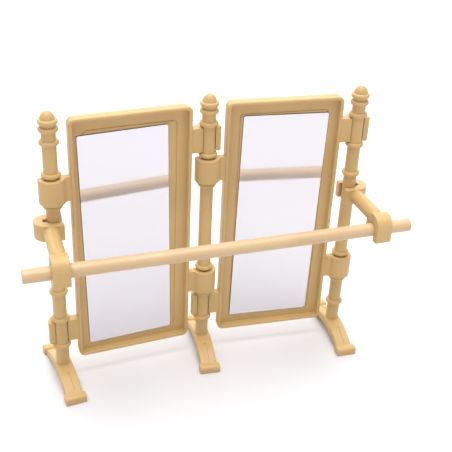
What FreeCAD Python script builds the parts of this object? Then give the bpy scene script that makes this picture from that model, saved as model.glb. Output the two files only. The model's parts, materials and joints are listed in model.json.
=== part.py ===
"""Two-panel mirror screen with a hand rail, for a doll's dance room, as a parametric document.

Three turned posts stand on arched feet. Two mirror frames snap onto the posts with open clips
and fold about them. A bracket on each outer post holds the hand rail, called the barre.
Millimetres, +Z up, the front of the mirrors towards -Y. The origin is on the floor, under the
centre of the assembled screen.
"""
import FreeCAD, Part
import Sketcher
import os
from FreeCAD import Placement, Rotation, Vector

SIZES = (
    # posts
    ("post_pitch", 51.6),       # between neighbouring post axes, along a panel
    ("panel_set", 3.8),         # degrees that each panel is folded back from straight
    ("rod_diameter", 4.5),      # plain stretches of a post
    ("ring_diameter", 6.2),
    ("ring_bead", 0.85),        # radius of a ring's rounded rim
    ("low_ring", 14.1),         # height of the lowest ring
    ("seat_pitch", 10.85),      # from ring to ring across a clip seat
    ("middle_pitch", "=frame_bottom + frame_tall - frame_over - 4 * seat_pitch - low_ring"),
    ("neck_pitch", 4.3),
    ("crown_pitch", 2.45),
    ("dome_diameter", 4.9),
    ("dome_rise", 3.3),         # above the top ring
    # feet
    ("foot_reach", 16.4),       # post axis to the toe
    ("foot_width", 5.8),
    ("foot_crown", 6.1),        # top of the arch at the post
    ("foot_toe", 2.3),          # top of the arch where it meets the toe pad
    ("arch_rise", 3.0),         # clear height under the arch
    ("pad_width", 7.2),
    ("pad_depth", 3.3),
    ("pad_height", 2.8),
    ("pad_round", 1.1),
    ("flare_rise", 0.8),        # soft foot of the column
    ("flare_out", 0.4),
    ("flare_root", 0.4),        # depth of the flare inside the foot
    ("channel_width", 1.0),     # engraved channel along each arm of the foot
    ("channel_depth", 0.3),
    ("channel_start", 5.6),
    ("channel_end", 12.8),
    ("left_turn", 6.4),         # degrees that each post stands turned about its own axis
    ("centre_turn", -4.6),
    ("right_turn", -2.4),
    # frames
    ("side_gap", 5.85),         # post axis to the side of the frame
    ("frame_bottom", 7.5),
    ("frame_tall", 89.3),
    ("frame_over", 6.85),       # top of a frame, above the ring over its highest clip
    ("frame_depth", 3.8),
    ("frame_front", 1.4),       # front face, ahead of the post axes
    ("corner_round", 2.1),
    ("rim_width", 1.2),
    ("rim_round", 0.35),
    ("recess_depth", 2.3),
    ("border_edge", 4.5),       # from the sides of a frame to the engraved border on its plate
    ("border_wide", "=post_pitch - 2 * side_gap - 2 * border_edge"),
    ("border_tall", "=frame_tall - 2 * border_edge"),
    ("border_line", 0.6),
    ("border_depth", 0.25),
    ("recess_round", 0.8),
    ("border_round", 1.8),
    ("line_round", 1.2),
    # mirror foils
    ("foil_inset", 0.58),       # from the border's outer edge to the edge of a foil, were it true
    ("foil_wide", "=border_wide - 2 * foil_inset"),
    ("foil_tall", "=border_tall - 2 * foil_inset"),
    ("foil_thick", 0.3),
    ("foil_round", 0.6),
    ("left_foil_shift", -1.75),  # from the middle of the panel, along it
    ("left_foil_drop", 1.0),     # below the middle of the frame
    ("left_foil_tilt", 1.1),     # degrees
    ("right_foil_shift", 0.2),
    ("right_foil_drop", 0.6),
    ("right_foil_tilt", -0.9),
    # clips on the frames
    ("clip_diameter", 8.4),
    ("seat_play", 0.65),        # both ends of a clip together, between two rings
    ("clip_length", "=seat_pitch - 2 * ring_bead - seat_play"),
    ("clip_mouth", 4.1),
    ("clip_clearance", 0.05),   # radial, between a bore and what turns in it
    ("clip_round", 0.9),        # corners of the jaws
    ("web_root", 0.6),          # how far the web runs into the frame
    ("web_front", 1.1),
    ("web_back", 2.0),
    # brackets
    ("bracket_share", 0.7565),  # of the posts' long middle stretch, below the bracket
    ("bracket_level", "=low_ring + 2 * seat_pitch + bracket_share * middle_pitch"),
    ("bracket_tall", 5.7),
    ("bracket_half", 4.2),      # half the width of the U, and its outer radius
    ("bracket_out", 2.3),       # centre of the U's round, outwards of the post
    ("jaw_reach", 2.8),         # inwards of the post
    ("bracket_mouth", 4.0),
    ("relief_width", 1.6),      # slot that lets the U spring open
    ("relief_depth", 1.2),
    ("arm_diameter", 4.7),
    ("arm_out", 1.45),          # arm's axis, outwards of the post
    ("bracket_round", 0.5),
    # hook that holds the barre
    ("barre_reach", 21.4),      # post axis to the barre's axis
    ("barre_drop", 3.1),        # barre's axis, below the arm's
    ("hook_out", 1.6),
    ("hook_wide", 5.5),
    ("hook_half", 4.2),         # outer radius over the barre
    ("hook_crest", 2.65),       # top of the hook, above the arm's axis
    ("front_jaw", 3.5),         # below the barre's axis
    ("rear_jaw", 1.5),
    ("jaw_round", 0.7),
    ("hook_round", 0.45),
    ("lip_front", 1.55),        # mouth's front edge, ahead of the barre's axis
    ("lip_rear", 2.15),         # mouth's rear edge, behind the barre's axis
    # barre
    ("barre_diameter", 4.5),
    ("barre_overhang", 12.9),   # beyond each outer post's axis
    ("barre_round", 0.35),
    # place of the outer post axes along Y, set so that the origin is centred
    ("row_place", 0.0),
)

# Ring levels, from the top of a post to its foot, as sheet formulas.
RING_LEVELS = (
    "low_ring + 4 * seat_pitch + middle_pitch + neck_pitch + crown_pitch",
    "low_ring + 4 * seat_pitch + middle_pitch + neck_pitch",
    "low_ring + 4 * seat_pitch + middle_pitch",
    "low_ring + 3 * seat_pitch + middle_pitch",
    "low_ring + 2 * seat_pitch + middle_pitch",
    "low_ring + 2 * seat_pitch",
    "low_ring + seat_pitch",
    "low_ring",
)
# Clip seats A to D, each halfway between two rings.
SEAT_LEVELS = {
    "a": "low_ring + 3.5 * seat_pitch + middle_pitch",
    "b": "low_ring + 2.5 * seat_pitch + middle_pitch",
    "c": "low_ring + 1.5 * seat_pitch",
    "d": "low_ring + 0.5 * seat_pitch",
}
HALF_SPAN = "post_pitch * cos(panel_set * 1 deg)"
SET_BACK = "post_pitch * sin(panel_set * 1 deg)"
BORE = "rod_diameter / 2 + clip_clearance"
FRAME_WIDE = "(post_pitch - 2 * side_gap)"
CLIP_TIP = f"sqrt(({BORE})^2 - (clip_mouth / 2)^2)"
ARM_HALF = "(foot_reach - pad_depth)"
CROWN_RADIUS = f"(({ARM_HALF}^2 + (foot_crown - foot_toe)^2) / (2 * (foot_crown - foot_toe)))"
ARCH_RADIUS = f"(({ARM_HALF}^2 + arch_rise^2) / (2 * arch_rise))"

doc = FreeCAD.newDocument("mirror_screen")
sheet = doc.addObject("Spreadsheet::Sheet", "sizes")
ALIASES = [alias for alias, _ in SIZES]
X_AXIS = Vector(1, 0, 0)
Y_AXIS = Vector(0, 1, 0)
for row, alias in enumerate(ALIASES, start=1):
    sheet.set(f"A{row}", alias)
    sheet.setAlias(f"B{row}", alias)
for row, (_, value) in enumerate(SIZES, start=1):
    sheet.set(f"B{row}", str(value))
doc.recompute()


def formula(text):
    """Write a formula of size names as an expression on the sheet."""
    words = []
    word = ""
    for letter in text + " ":
        if letter.isalnum() or letter == "_":
            word += letter
            continue
        words.append("sizes." + word if word in ALIASES else word)
        words.append(letter)
        word = ""
    return "".join(words).strip()


def bind(thing, **formulas):
    """Bind properties of an object to formulas on the sheet. Two underscores stand for a dot."""
    for prop, text in formulas.items():
        thing.setExpression(prop.replace("__", "."), formula(text))


def place(thing, along="0", across="0", level="0", turn="0"):
    """Bind an object's place, and its turn about a vertical axis in degrees."""
    thing.Placement = Placement(Vector(0, 0, 0), Rotation(Vector(0, 0, 1), 1.0))
    bind(thing, Placement__Base__x=along, Placement__Base__y=across, Placement__Base__z=level)
    bind(thing, Placement__Rotation__Angle=turn)


def box(name, length, width, height, along="0", across="0", level="0"):
    """A box from its lowest corner."""
    solid = doc.addObject("Part::Box", name)
    bind(solid, Length=length, Width=width, Height=height)
    bind(solid, Placement__Base__x=along, Placement__Base__y=across, Placement__Base__z=level)
    return solid


def cylinder(name, radius, height, along="0", across="0", level="0", axis=None):
    """A cylinder that stands on its place, or lies along the given axis from it."""
    solid = doc.addObject("Part::Cylinder", name)
    if axis is not None:
        solid.Placement = Placement(Vector(0, 0, 0), Rotation(Vector(0, 0, 1), axis))
    bind(solid, Radius=radius, Height=height)
    bind(solid, Placement__Base__x=along, Placement__Base__y=across, Placement__Base__z=level)
    return solid


def cut(name, base, *tools):
    """A base with every tool taken away."""
    for number, tool in enumerate(tools, start=1):
        result = doc.addObject("Part::Cut", f"{name}_cut{number}" if number < len(tools) else name)
        result.Base = base
        result.Tool = tool
        base = result
    return base


def fuse(name, solids):
    """Several solids as one."""
    result = doc.addObject("Part::MultiFuse", name)
    result.Shapes = solids
    result.Refine = True
    return result


def round_edges(name, base, radius, wanted):
    """Fillet those edges of a Part object that the test picks."""
    doc.recompute()
    size = float(sheet.get(radius))
    result = doc.addObject("Part::Fillet", name)
    result.Base = base
    edges = enumerate(base.Shape.Edges, start=1)
    result.Edges = [(number, size, size) for number, edge in edges if wanted(edge)]
    return result


def is_along(edge, axis):
    """Whether an edge is straight and lies along an axis."""
    if not isinstance(edge.Curve, Part.Line):
        return False
    return abs(edge.tangentAt(edge.FirstParameter).dot(axis)) > 0.999


def is_flat(edge, side, level):
    """Whether an edge lies wholly at one level of x, y or z."""
    limits = edge.BoundBox
    ends = {
        "x": (limits.XMin, limits.XMax),
        "y": (limits.YMin, limits.YMax),
        "z": (limits.ZMin, limits.ZMax),
    }
    return all(abs(end - level) < 1e-4 for end in ends[side])


def size_of(text):
    """The present value of a formula of size names."""
    return float(sheet.evalExpression(formula(text)))


# ---------------------------------------------------------------- sketches and bodies

def new_sketch(body, name, role, lift="0"):
    """A sketch on one of the body's own origin planes, lifted along the plane's normal."""
    sketch = body.newObject("Sketcher::SketchObject", name)
    plane = [feature for feature in body.Origin.OriginFeatures if feature.Role == role][0]
    sketch.AttachmentSupport = [(plane, "")]
    sketch.MapMode = "FlatFace"
    sketch.AttachmentOffset = Placement(Vector(0, 0, 0), Rotation(Vector(0, 0, 1), 0.0))
    bind(sketch, AttachmentOffset__Base__z=lift)
    return sketch


def dimension(sketch, kind, text, *ends):
    """Add a dimension whose value follows a formula."""
    number = sketch.addConstraint(Sketcher.Constraint(kind, *ends, size_of(text)))
    sketch.setExpression(f"Constraints[{number}]", formula(text))


def rectangle(sketch, wide, tall):
    """Draw a rectangle centred on the sketch's own origin."""
    x, y = size_of(wide) / 2, size_of(tall) / 2
    corners = [Vector(-x, -y, 0), Vector(x, -y, 0), Vector(x, y, 0), Vector(-x, y, 0)]
    for side in range(4):
        sketch.addGeometry(Part.LineSegment(corners[side], corners[(side + 1) % 4]), False)
    for side in range(4):
        sketch.addConstraint(Sketcher.Constraint("Coincident", side, 2, (side + 1) % 4, 1))
        sketch.addConstraint(Sketcher.Constraint("Horizontal" if side % 2 == 0 else "Vertical", side))
    sketch.addConstraint(Sketcher.Constraint("Symmetric", 0, 1, 2, 1, -1, 1))
    dimension(sketch, "DistanceX", wide, 0, 1, 0, 2)
    dimension(sketch, "DistanceY", tall, 1, 1, 1, 2)


def pad(body, name, sketch, length):
    """Pad a sketch of a body."""
    feature = body.newObject("PartDesign::Pad", name)
    feature.Profile = sketch
    bind(feature, Length=length)
    doc.recompute()
    return feature


def soften(body, name, base, radius, wanted):
    """Round those edges of a body's feature that the test picks."""
    edges = [f"Edge{number}" for number, edge in enumerate(base.Shape.Edges, start=1) if wanted(edge)]
    feature = body.newObject("PartDesign::Fillet", name)
    feature.Base = (base, edges)
    bind(feature, Radius=radius)
    doc.recompute()
    return feature


# ---------------------------------------------------------------- posts

def foot(name):
    """An arched foot: a bar that springs from toe to toe, with a raised pad at each end."""
    crown_centre = f"foot_crown - {CROWN_RADIUS}"
    bar = box(f"{name}_bar", "foot_width", f"2 * {ARM_HALF} + pad_depth", "foot_crown",
              "-foot_width / 2", f"-{ARM_HALF} - pad_depth / 2", "0")
    crown = cylinder(f"{name}_crown", CROWN_RADIUS, "foot_width",
                     "-foot_width / 2", "0", crown_centre, X_AXIS)
    arch = cylinder(f"{name}_arch", ARCH_RADIUS, "foot_width + 2", "-foot_width / 2 - 1", "0",
                    f"arch_rise - {ARCH_RADIUS}", X_AXIS)
    arched = doc.addObject("Part::Common", f"{name}_arched")
    arched.Base = bar
    arched.Tool = crown
    channels = []
    for end, start in (("front", "-channel_end"), ("rear", "channel_start")):
        slot = box(f"{name}_{end}_slot", "channel_width", "channel_end - channel_start", "foot_crown",
                   "-channel_width / 2", start, "0")
        floor = cylinder(f"{name}_{end}_floor", f"{CROWN_RADIUS} - channel_depth", "foot_width",
                         "-foot_width / 2", "0", crown_centre, X_AXIS)
        channels.append(cut(f"{name}_{end}_channel", slot, floor))
    spring = cut(f"{name}_spring", arched, arch, *channels)
    pads = []
    for end, start in (("front", "-foot_reach"), ("rear", "foot_reach - pad_depth")):
        block = box(f"{name}_{end}_block", "pad_width", "pad_depth", "pad_height",
                    "-pad_width / 2", start, "0")
        doc.recompute()
        top = block.Shape.BoundBox.ZMax
        pads.append(round_edges(f"{name}_{end}_pad", block, "pad_round",
                                lambda edge: is_along(edge, X_AXIS) and is_flat(edge, "z", top)))
    flare = doc.addObject("Part::Cone", f"{name}_flare")
    bind(flare, Radius1="rod_diameter / 2 + flare_out", Radius2="rod_diameter / 2")
    bind(flare, Height="flare_rise + flare_root", Placement__Base__z="foot_crown - flare_root")
    return [spring, *pads, flare]


def post(name, along, across, turn):
    """A turned post: a rod with eight rings, a dome on top and an arched foot."""
    root = "arch_rise + 1"
    rod = cylinder(f"{name}_rod", "rod_diameter / 2", f"{RING_LEVELS[0]} - ({root})", level=root)
    dome = doc.addObject("Part::Ellipsoid", f"{name}_dome")
    bind(dome, Radius1="dome_rise", Radius2="dome_diameter / 2", Placement__Base__z=RING_LEVELS[0])
    rings = []
    for number, level in enumerate(RING_LEVELS, start=1):
        ring = doc.addObject("Part::Torus", f"{name}_ring{number}")
        bind(ring, Radius1="ring_diameter / 2 - ring_bead", Radius2="ring_bead", Placement__Base__z=level)
        rings.append(ring)
    whole = fuse(name, [rod, dome, *rings, *foot(f"{name}_foot")])
    place(whole, along, across, "0", turn)
    return whole


# ---------------------------------------------------------------- frames and mirrors

def rounded_plate(name, wide, deep, tall, front, level, bend):
    """An upright plate with round corners, centred along the panel."""
    block = box(f"{name}_block", wide, deep, tall, f"-{wide} / 2", front, level)
    return round_edges(name, block, bend, lambda edge: is_along(edge, Y_AXIS))


def tray(name):
    """A shallow tray: outer rim, recessed plate and an engraved border line on the plate."""
    shell = rounded_plate(f"{name}_shell", FRAME_WIDE, "frame_depth", "frame_tall",
                          "-frame_front", "frame_bottom", "corner_round")
    recess = rounded_plate(f"{name}_recess", f"({FRAME_WIDE} - 2 * rim_width)", "recess_depth + 1",
                           "frame_tall - 2 * rim_width", "-frame_front - 1",
                           "frame_bottom + rim_width", "recess_round")
    middle = "frame_bottom + frame_tall / 2"
    floor = "recess_depth - frame_front"
    outer = rounded_plate(f"{name}_line_outer", "border_wide", "2 * border_depth", "border_tall",
                          f"{floor} - border_depth", f"{middle} - border_tall / 2", "border_round")
    inner = rounded_plate(f"{name}_line_inner", "(border_wide - 2 * border_line)", "2 * border_depth + 2",
                          "border_tall - 2 * border_line", f"{floor} - border_depth - 1",
                          f"{middle} - border_tall / 2 + border_line", "line_round")
    line = cut(f"{name}_line", outer, inner)
    hollow = cut(f"{name}_hollow", shell, recess, line)
    doc.recompute()
    front = hollow.Shape.BoundBox.YMin
    return round_edges(f"{name}_tray", hollow, "rim_round", lambda edge: is_flat(edge, "y", front))


def clip(name, side, seat, mouth):
    """A C-shaped clip round a post, with the web that joins it to the side of the frame.

    The tips of its jaws end flat, where the bore is as wide as the mouth.

    side is -1 at the left post and 1 at the right one. mouth is -1 for a clip that opens to the
    front and 1 for one that opens to the back.
    """
    axis = f"{side} * post_pitch / 2"
    bottom = f"{SEAT_LEVELS[seat]} - clip_length / 2"
    barrel = cylinder(f"{name}_barrel", "clip_diameter / 2", "clip_length", axis, "0", bottom)
    web_start = f"{axis} - side_gap - web_root" if side > 0 else axis
    web = box(f"{name}_web", "side_gap + web_root", "web_front + web_back", "clip_length",
              web_start, "-web_front", bottom)
    solid = fuse(f"{name}_solid", [barrel, web])
    bore = cylinder(f"{name}_bore", BORE, "clip_length + 2", axis, "0", f"{bottom} - 1")
    gap_start = "0" if mouth > 0 else "-clip_diameter"
    gap = box(f"{name}_gap", "clip_mouth + 2 * clip_round", "clip_diameter", "clip_length + 2",
              f"{axis} - clip_mouth / 2 - clip_round", gap_start, f"{bottom} - 1")
    ends = []
    hands = (("left", f"{axis} - clip_mouth / 2 - clip_diameter"), ("right", f"{axis} + clip_mouth / 2"))
    for hand, start in hands:
        block = box(f"{name}_{hand}_block", "clip_diameter", "clip_diameter + 2", "clip_length",
                    start, f"{gap_start} - 1", bottom)
        jaw = round_edges(f"{name}_{hand}_jaw", block, "clip_round", lambda edge: is_along(edge, Y_AXIS))
        ends.append(jaw)
    beyond = CLIP_TIP if mouth > 0 else f"-{CLIP_TIP} - clip_diameter"
    tips = box(f"{name}_tips", "2 * clip_diameter + 2 * side_gap", "clip_diameter", "clip_length + 2",
               f"{axis} - clip_diameter - side_gap", beyond, f"{bottom} - 1")
    return cut(name, solid, bore, cut(f"{name}_mouth", gap, *ends), tips)


def frame(name, along, across, turn):
    """A mirror frame: the tray and its four clips, two on each post."""
    pieces = [tray(name)]
    for side, seat, mouth in ((-1, "b", 1), (-1, "d", -1), (1, "a", -1), (1, "c", 1)):
        pieces.append(clip(f"{name}_clip_{seat}", side, seat, mouth))
    whole = fuse(name, pieces)
    place(whole, along, across, "0", turn)
    return whole


def foil(name, along, across, turn, shift, drop, tilt):
    """A mirror foil that is stuck to the plate of a frame, a little off true."""
    body = doc.addObject("PartDesign::Body", name)
    sketch = new_sketch(body, f"{name}_outline", "XZ_Plane", "frame_front - recess_depth")
    bind(sketch, AttachmentOffset__Base__x=shift)
    bind(sketch, AttachmentOffset__Base__y=f"frame_bottom + frame_tall / 2 - {drop}")
    bind(sketch, AttachmentOffset__Rotation__Angle=tilt)
    rectangle(sketch, "foil_wide", "foil_tall")
    film = pad(body, f"{name}_film", sketch, "foil_thick")
    soften(body, f"{name}_corners", film, "foil_round", lambda edge: is_along(edge, Y_AXIS))
    place(body, along, across, "0", turn)
    return body


# ---------------------------------------------------------------- brackets and barre

def hook(name):
    """The hook at the end of a bracket's arm, open below, that the barre snaps into."""
    start = "-hook_out - hook_wide / 2"
    crest_centre = "hook_crest - hook_half"
    over = cylinder(f"{name}_over", "hook_half", "hook_wide", start, "-barre_reach", crest_centre, X_AXIS)
    front_wall = box(f"{name}_front_wall", "hook_wide", "hook_half",
                     f"{crest_centre} + barre_drop + front_jaw",
                     start, "-barre_reach - hook_half", "-barre_drop - front_jaw")
    rear_wall = box(f"{name}_rear_wall", "hook_wide", "hook_half",
                    f"{crest_centre} + barre_drop + rear_jaw",
                    start, "-barre_reach", "-barre_drop - rear_jaw")
    solid = fuse(f"{name}_solid", [over, front_wall, rear_wall])
    doc.recompute()
    low = solid.Shape.BoundBox.ZMin
    front = solid.Shape.BoundBox.YMin
    rear = solid.Shape.BoundBox.YMax
    jaws = round_edges(f"{name}_jaws", solid, "jaw_round", lambda edge: is_along(edge, X_AXIS) and (
        is_flat(edge, "z", low) and is_flat(edge, "y", front)
        or is_flat(edge, "y", rear) and edge.CenterOfMass.z < size_of("-barre_drop - rear_jaw") + 0.01))
    bore = cylinder(f"{name}_bore", "barre_diameter / 2 + clip_clearance", "hook_wide + 2",
                    f"{start} - 1", "-barre_reach", "-barre_drop", X_AXIS)
    gap = box(f"{name}_gap", "hook_wide + 2", "lip_front + lip_rear", "front_jaw + 1",
              f"{start} - 1", "-barre_reach - lip_front", "-barre_drop - front_jaw - 1")
    opened = cut(f"{name}_open", jaws, bore, gap)
    doc.recompute()
    left, right = opened.Shape.BoundBox.XMin, opened.Shape.BoundBox.XMax
    outer = size_of("hook_half") - 0.05

    def is_rim(edge):
        """Whether an edge lies on a side of the hook, along its outer outline."""
        if not (is_flat(edge, "x", left) or is_flat(edge, "x", right)):
            return False
        spot = edge.valueAt((edge.FirstParameter + edge.LastParameter) / 2)
        across = abs(spot.y + size_of("barre_reach"))
        above = spot.z > size_of(crest_centre)
        return above or across > outer
    return round_edges(name, opened, "hook_round", is_rim)


def bracket(name, along, across, level):
    """The left bracket: a U-shaped clip round the post, a round arm and the hook for the barre."""
    bottom = "-bracket_tall / 2"
    bend = cylinder(f"{name}_bend", "bracket_half", "bracket_tall", "-bracket_out", "0", bottom)
    jaws = box(f"{name}_jaws", "bracket_out + jaw_reach", "2 * bracket_half", "bracket_tall",
               "-bracket_out", "-bracket_half", bottom)
    shell = fuse(f"{name}_shell", [bend, jaws])
    doc.recompute()
    low = shell.Shape.BoundBox.ZMin
    high = shell.Shape.BoundBox.ZMax
    tip = shell.Shape.BoundBox.XMax
    soft = round_edges(f"{name}_soft", shell, "bracket_round", lambda edge: (
        is_flat(edge, "z", low) or is_flat(edge, "z", high) or is_flat(edge, "x", tip)))
    arm = cylinder(f"{name}_arm", "arm_diameter / 2", "barre_reach - hook_half + 0.8", "-arm_out", "0", "0",
                   Vector(0, -1, 0))
    solid = fuse(f"{name}_solid", [soft, arm, hook(f"{name}_hook")])
    bore = cylinder(f"{name}_bore", BORE, "bracket_tall + 2", "0", "0", f"{bottom} - 1")
    gap = box(f"{name}_gap", "jaw_reach + 1", "bracket_mouth", "bracket_tall + 2",
              "0", "-bracket_mouth / 2", f"{bottom} - 1")
    relief = box(f"{name}_relief", f"{BORE} + relief_depth", "relief_width", "bracket_tall + 2",
                 f"-({BORE}) - relief_depth", "-relief_width / 2", f"{bottom} - 1")
    whole = cut(name, solid, bore, gap, relief)
    place(whole, along, across, level)
    return whole


def barre(name, across, level):
    """The hand rail: a plain round rod with softened ends."""
    body = doc.addObject("PartDesign::Body", name)
    half = f"{HALF_SPAN} + barre_overhang"
    sketch = new_sketch(body, f"{name}_section", "YZ_Plane", f"-({half})")
    sketch.addGeometry(Part.Circle(Vector(0, 0, 0), Vector(0, 0, 1), size_of("barre_diameter") / 2), False)
    sketch.addConstraint(Sketcher.Constraint("Coincident", 0, 3, -1, 1))
    dimension(sketch, "Diameter", "barre_diameter", 0)
    rod = pad(body, f"{name}_rod", sketch, f"2 * ({half})")
    soften(body, f"{name}_ends", rod, "barre_round", lambda edge: isinstance(edge.Curve, Part.Circle))
    place(body, "0", across, level)
    return body


# ---------------------------------------------------------------- assembly

def assemble():
    """Make every sub-part in its place and return them."""
    left = f"-{HALF_SPAN}"
    middle_row = f"row_place + {SET_BACK}"
    panel_row = f"row_place + {SET_BACK} / 2"
    sub_parts = [
        post("centre_post", "0", middle_row, "centre_turn"),
        post("left_post", left, "row_place", "left_turn"),
        post("right_post", HALF_SPAN, "row_place", "right_turn"),
        frame("left_frame", f"{left} / 2", panel_row, "panel_set"),
        frame("right_frame", f"{HALF_SPAN} / 2", panel_row, "-panel_set"),
        foil("left_mirror", f"{left} / 2", panel_row, "panel_set",
             "left_foil_shift", "left_foil_drop", "left_foil_tilt"),
        foil("right_mirror", f"{HALF_SPAN} / 2", panel_row, "-panel_set",
             "right_foil_shift", "right_foil_drop", "right_foil_tilt"),
        bracket("left_bracket", left, "row_place", "bracket_level"),
        barre("barre", "row_place - barre_reach", "bracket_level - barre_drop"),
    ]
    twin = doc.addObject("Part::Mirroring", "right_bracket")
    twin.Source = doc.getObject("left_bracket")
    twin.Normal = X_AXIS
    sub_parts.append(twin)
    doc.recompute()
    return sub_parts


def centre(sub_parts):
    """Slide the assembly along Y until the origin is under the centre of its box."""
    low = min(part.Shape.optimalBoundingBox().YMin for part in sub_parts)
    high = max(part.Shape.optimalBoundingBox().YMax for part in sub_parts)
    row = ALIASES.index("row_place") + 1
    sheet.set(f"B{row}", str(round(size_of("row_place") - (low + high) / 2, 4)))
    doc.recompute()


def check(sub_parts):
    """Stop if any object failed, or a sub-part isn't one good solid."""
    for thing in doc.Objects:
        if "Invalid" in thing.State or "Error" in thing.State:
            raise RuntimeError(f"{thing.Label} failed: {thing.State}")
    for part in sub_parts:
        shape = part.Shape
        if shape.isNull() or not shape.isValid() or len(shape.Solids) != 1:
            raise RuntimeError(f"{part.Label} is not one good solid")
        box_of = shape.BoundBox
        print(f"{part.Label:14s} volume {shape.Volume:9.2f}  x {box_of.XMin:7.2f} {box_of.XMax:7.2f}"
              f"  y {box_of.YMin:7.2f} {box_of.YMax:7.2f}  z {box_of.ZMin:6.2f} {box_of.ZMax:6.2f}")


pieces = assemble()
centre(pieces)
check(pieces)
os.makedirs("parts", exist_ok=True)
for piece in pieces:
    piece.Shape.exportStep(f"parts/{piece.Label}.step")
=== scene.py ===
"""Looks of a two-panel mirror screen with a hand rail, for a doll's dance room.

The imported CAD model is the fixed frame. Every node is replaced by finer pieces: turned posts on
arched feet, tray frames with their open clips, mirror foils, the two brackets with their hooks,
and the rod that they hold. Sizes in the dataclasses are millimetres; the meshes are in metres.
"""
import json
import logging
import math
from dataclasses import dataclass, field
from enum import Enum
from functools import cache
from typing import Callable, Sequence

import bmesh
import bpy
from mathutils import Matrix, Vector


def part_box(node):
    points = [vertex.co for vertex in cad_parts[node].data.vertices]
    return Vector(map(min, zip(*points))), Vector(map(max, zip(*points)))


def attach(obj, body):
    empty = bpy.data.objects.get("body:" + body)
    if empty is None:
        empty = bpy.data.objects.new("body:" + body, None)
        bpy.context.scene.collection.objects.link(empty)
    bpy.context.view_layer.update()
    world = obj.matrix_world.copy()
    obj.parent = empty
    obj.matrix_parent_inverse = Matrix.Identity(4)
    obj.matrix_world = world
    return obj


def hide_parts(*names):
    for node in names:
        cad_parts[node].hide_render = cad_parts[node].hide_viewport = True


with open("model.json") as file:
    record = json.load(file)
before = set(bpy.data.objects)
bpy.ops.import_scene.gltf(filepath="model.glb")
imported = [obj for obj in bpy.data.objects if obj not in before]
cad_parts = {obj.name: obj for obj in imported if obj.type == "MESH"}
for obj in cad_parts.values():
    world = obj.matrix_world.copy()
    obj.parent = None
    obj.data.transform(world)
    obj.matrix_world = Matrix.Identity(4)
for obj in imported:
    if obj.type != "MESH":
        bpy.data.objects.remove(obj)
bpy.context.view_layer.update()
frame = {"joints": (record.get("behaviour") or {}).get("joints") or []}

logging.basicConfig(level=logging.INFO, format="%(message)s")
log = logging.getLogger("screen")

MM = 0.001
WELD = 1e-7
FACES_UP = 0.5
FACES_FRONT = -0.99
POST_TURNS = {"centre_post": -4.6, "left_post": 6.4, "right_post": -2.4}
X_AXIS = Vector((1.0, 0.0, 0.0))
Y_AXIS = Vector((0.0, 1.0, 0.0))
Z_AXIS = Vector((0.0, 0.0, 1.0))


class Side(Enum):
    """The two ends of the screen, as the sign of X."""

    LEFT = -1
    RIGHT = 1


class Mouth(Enum):
    """Which way a clip opens, as the sign of Y."""

    FRONT = -1
    BACK = 1


# ------------------------------------------------------------------ mesh helpers

class Pen:
    """Draws an outline by pulling its last vertex along lines and round arcs."""

    def __init__(self, mesh: bmesh.types.BMesh, start: Vector, normal: Vector) -> None:
        """Set the pen down.

        Args:
            mesh: the bmesh that it draws in.
            start: first point, in millimetres.
            normal: axis that the arcs turn about.
        """
        self.mesh = mesh
        self.normal = normal
        self.last = bmesh.ops.create_vert(mesh, co=start * MM)["vert"][0]

    @property
    def at(self) -> Vector:
        """Where the pen is, in millimetres."""
        return self.last.co / MM

    def line(self, *ends: Vector) -> "Pen":
        """Draw straight runs through the given points.

        Args:
            ends: end of each run, in millimetres.

        Returns:
            The pen itself.
        """
        for end in ends:
            pulled = bmesh.ops.extrude_vert_indiv(self.mesh, verts=[self.last])
            self.last = pulled["verts"][0]
            bmesh.ops.translate(self.mesh, vec=end * MM - self.last.co, verts=[self.last])
        return self

    def arc(self, centre: Vector, degrees: float, steps: int) -> "Pen":
        """Draw an arc about a centre.

        Args:
            centre: centre of the arc, in millimetres.
            degrees: how far it turns about the pen's normal.
            steps: number of straight pieces.

        Returns:
            The pen itself.
        """
        spun = bmesh.ops.spin(
            self.mesh, geom=[self.last], cent=centre * MM, axis=self.normal,
            angle=math.radians(degrees), steps=steps, use_duplicate=False)
        self.last = next(part for part in spun["geom_last"] if isinstance(part, bmesh.types.BMVert))
        return self

    def close(self) -> bmesh.types.BMFace:
        """Join the end to the start and fill the outline.

        Returns:
            The face inside the outline.
        """
        first = next(iter(self.mesh.verts))
        bmesh.ops.contextual_create(self.mesh, geom=[self.last, first])
        bmesh.ops.remove_doubles(self.mesh, verts=self.mesh.verts[:], dist=WELD)
        made = bmesh.ops.contextual_create(self.mesh, geom=self.mesh.edges[:])
        return made["faces"][0]


def thicken(mesh: bmesh.types.BMesh, face: bmesh.types.BMFace, run: Vector) -> None:
    """Pull a face into a closed prism.

    Args:
        mesh: the bmesh that holds it.
        face: its first end.
        run: from the first end to the other, in millimetres.
    """
    pulled = bmesh.ops.extrude_face_region(mesh, geom=[face])["geom"]
    tips = [part for part in pulled if isinstance(part, bmesh.types.BMVert)]
    bmesh.ops.translate(mesh, vec=run * MM, verts=tips)
    bmesh.ops.recalc_face_normals(mesh, faces=mesh.faces[:])


def soften(mesh: bmesh.types.BMesh, radius: float, segments: int,
           wanted: Callable[[bmesh.types.BMEdge], bool]) -> None:
    """Round every edge that a test picks.

    Args:
        mesh: the bmesh that holds the edges.
        radius: how far the rounding reaches from the edge, in millimetres.
        segments: faces across the rounding.
        wanted: says whether an edge is rounded.
    """
    picked = [edge for edge in mesh.edges if edge.is_manifold and wanted(edge)]
    bmesh.ops.bevel(mesh, geom=picked, offset=radius * MM, offset_type="OFFSET", segments=segments,
                    profile=0.5, affect="EDGES", clamp_overlap=True, material=-1)


def is_sharp(edge: bmesh.types.BMEdge, degrees: float = 35.0) -> bool:
    """Whether the two faces of an edge meet at more than an angle."""
    return abs(edge.calc_face_angle(0.0)) > math.radians(degrees)


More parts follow.
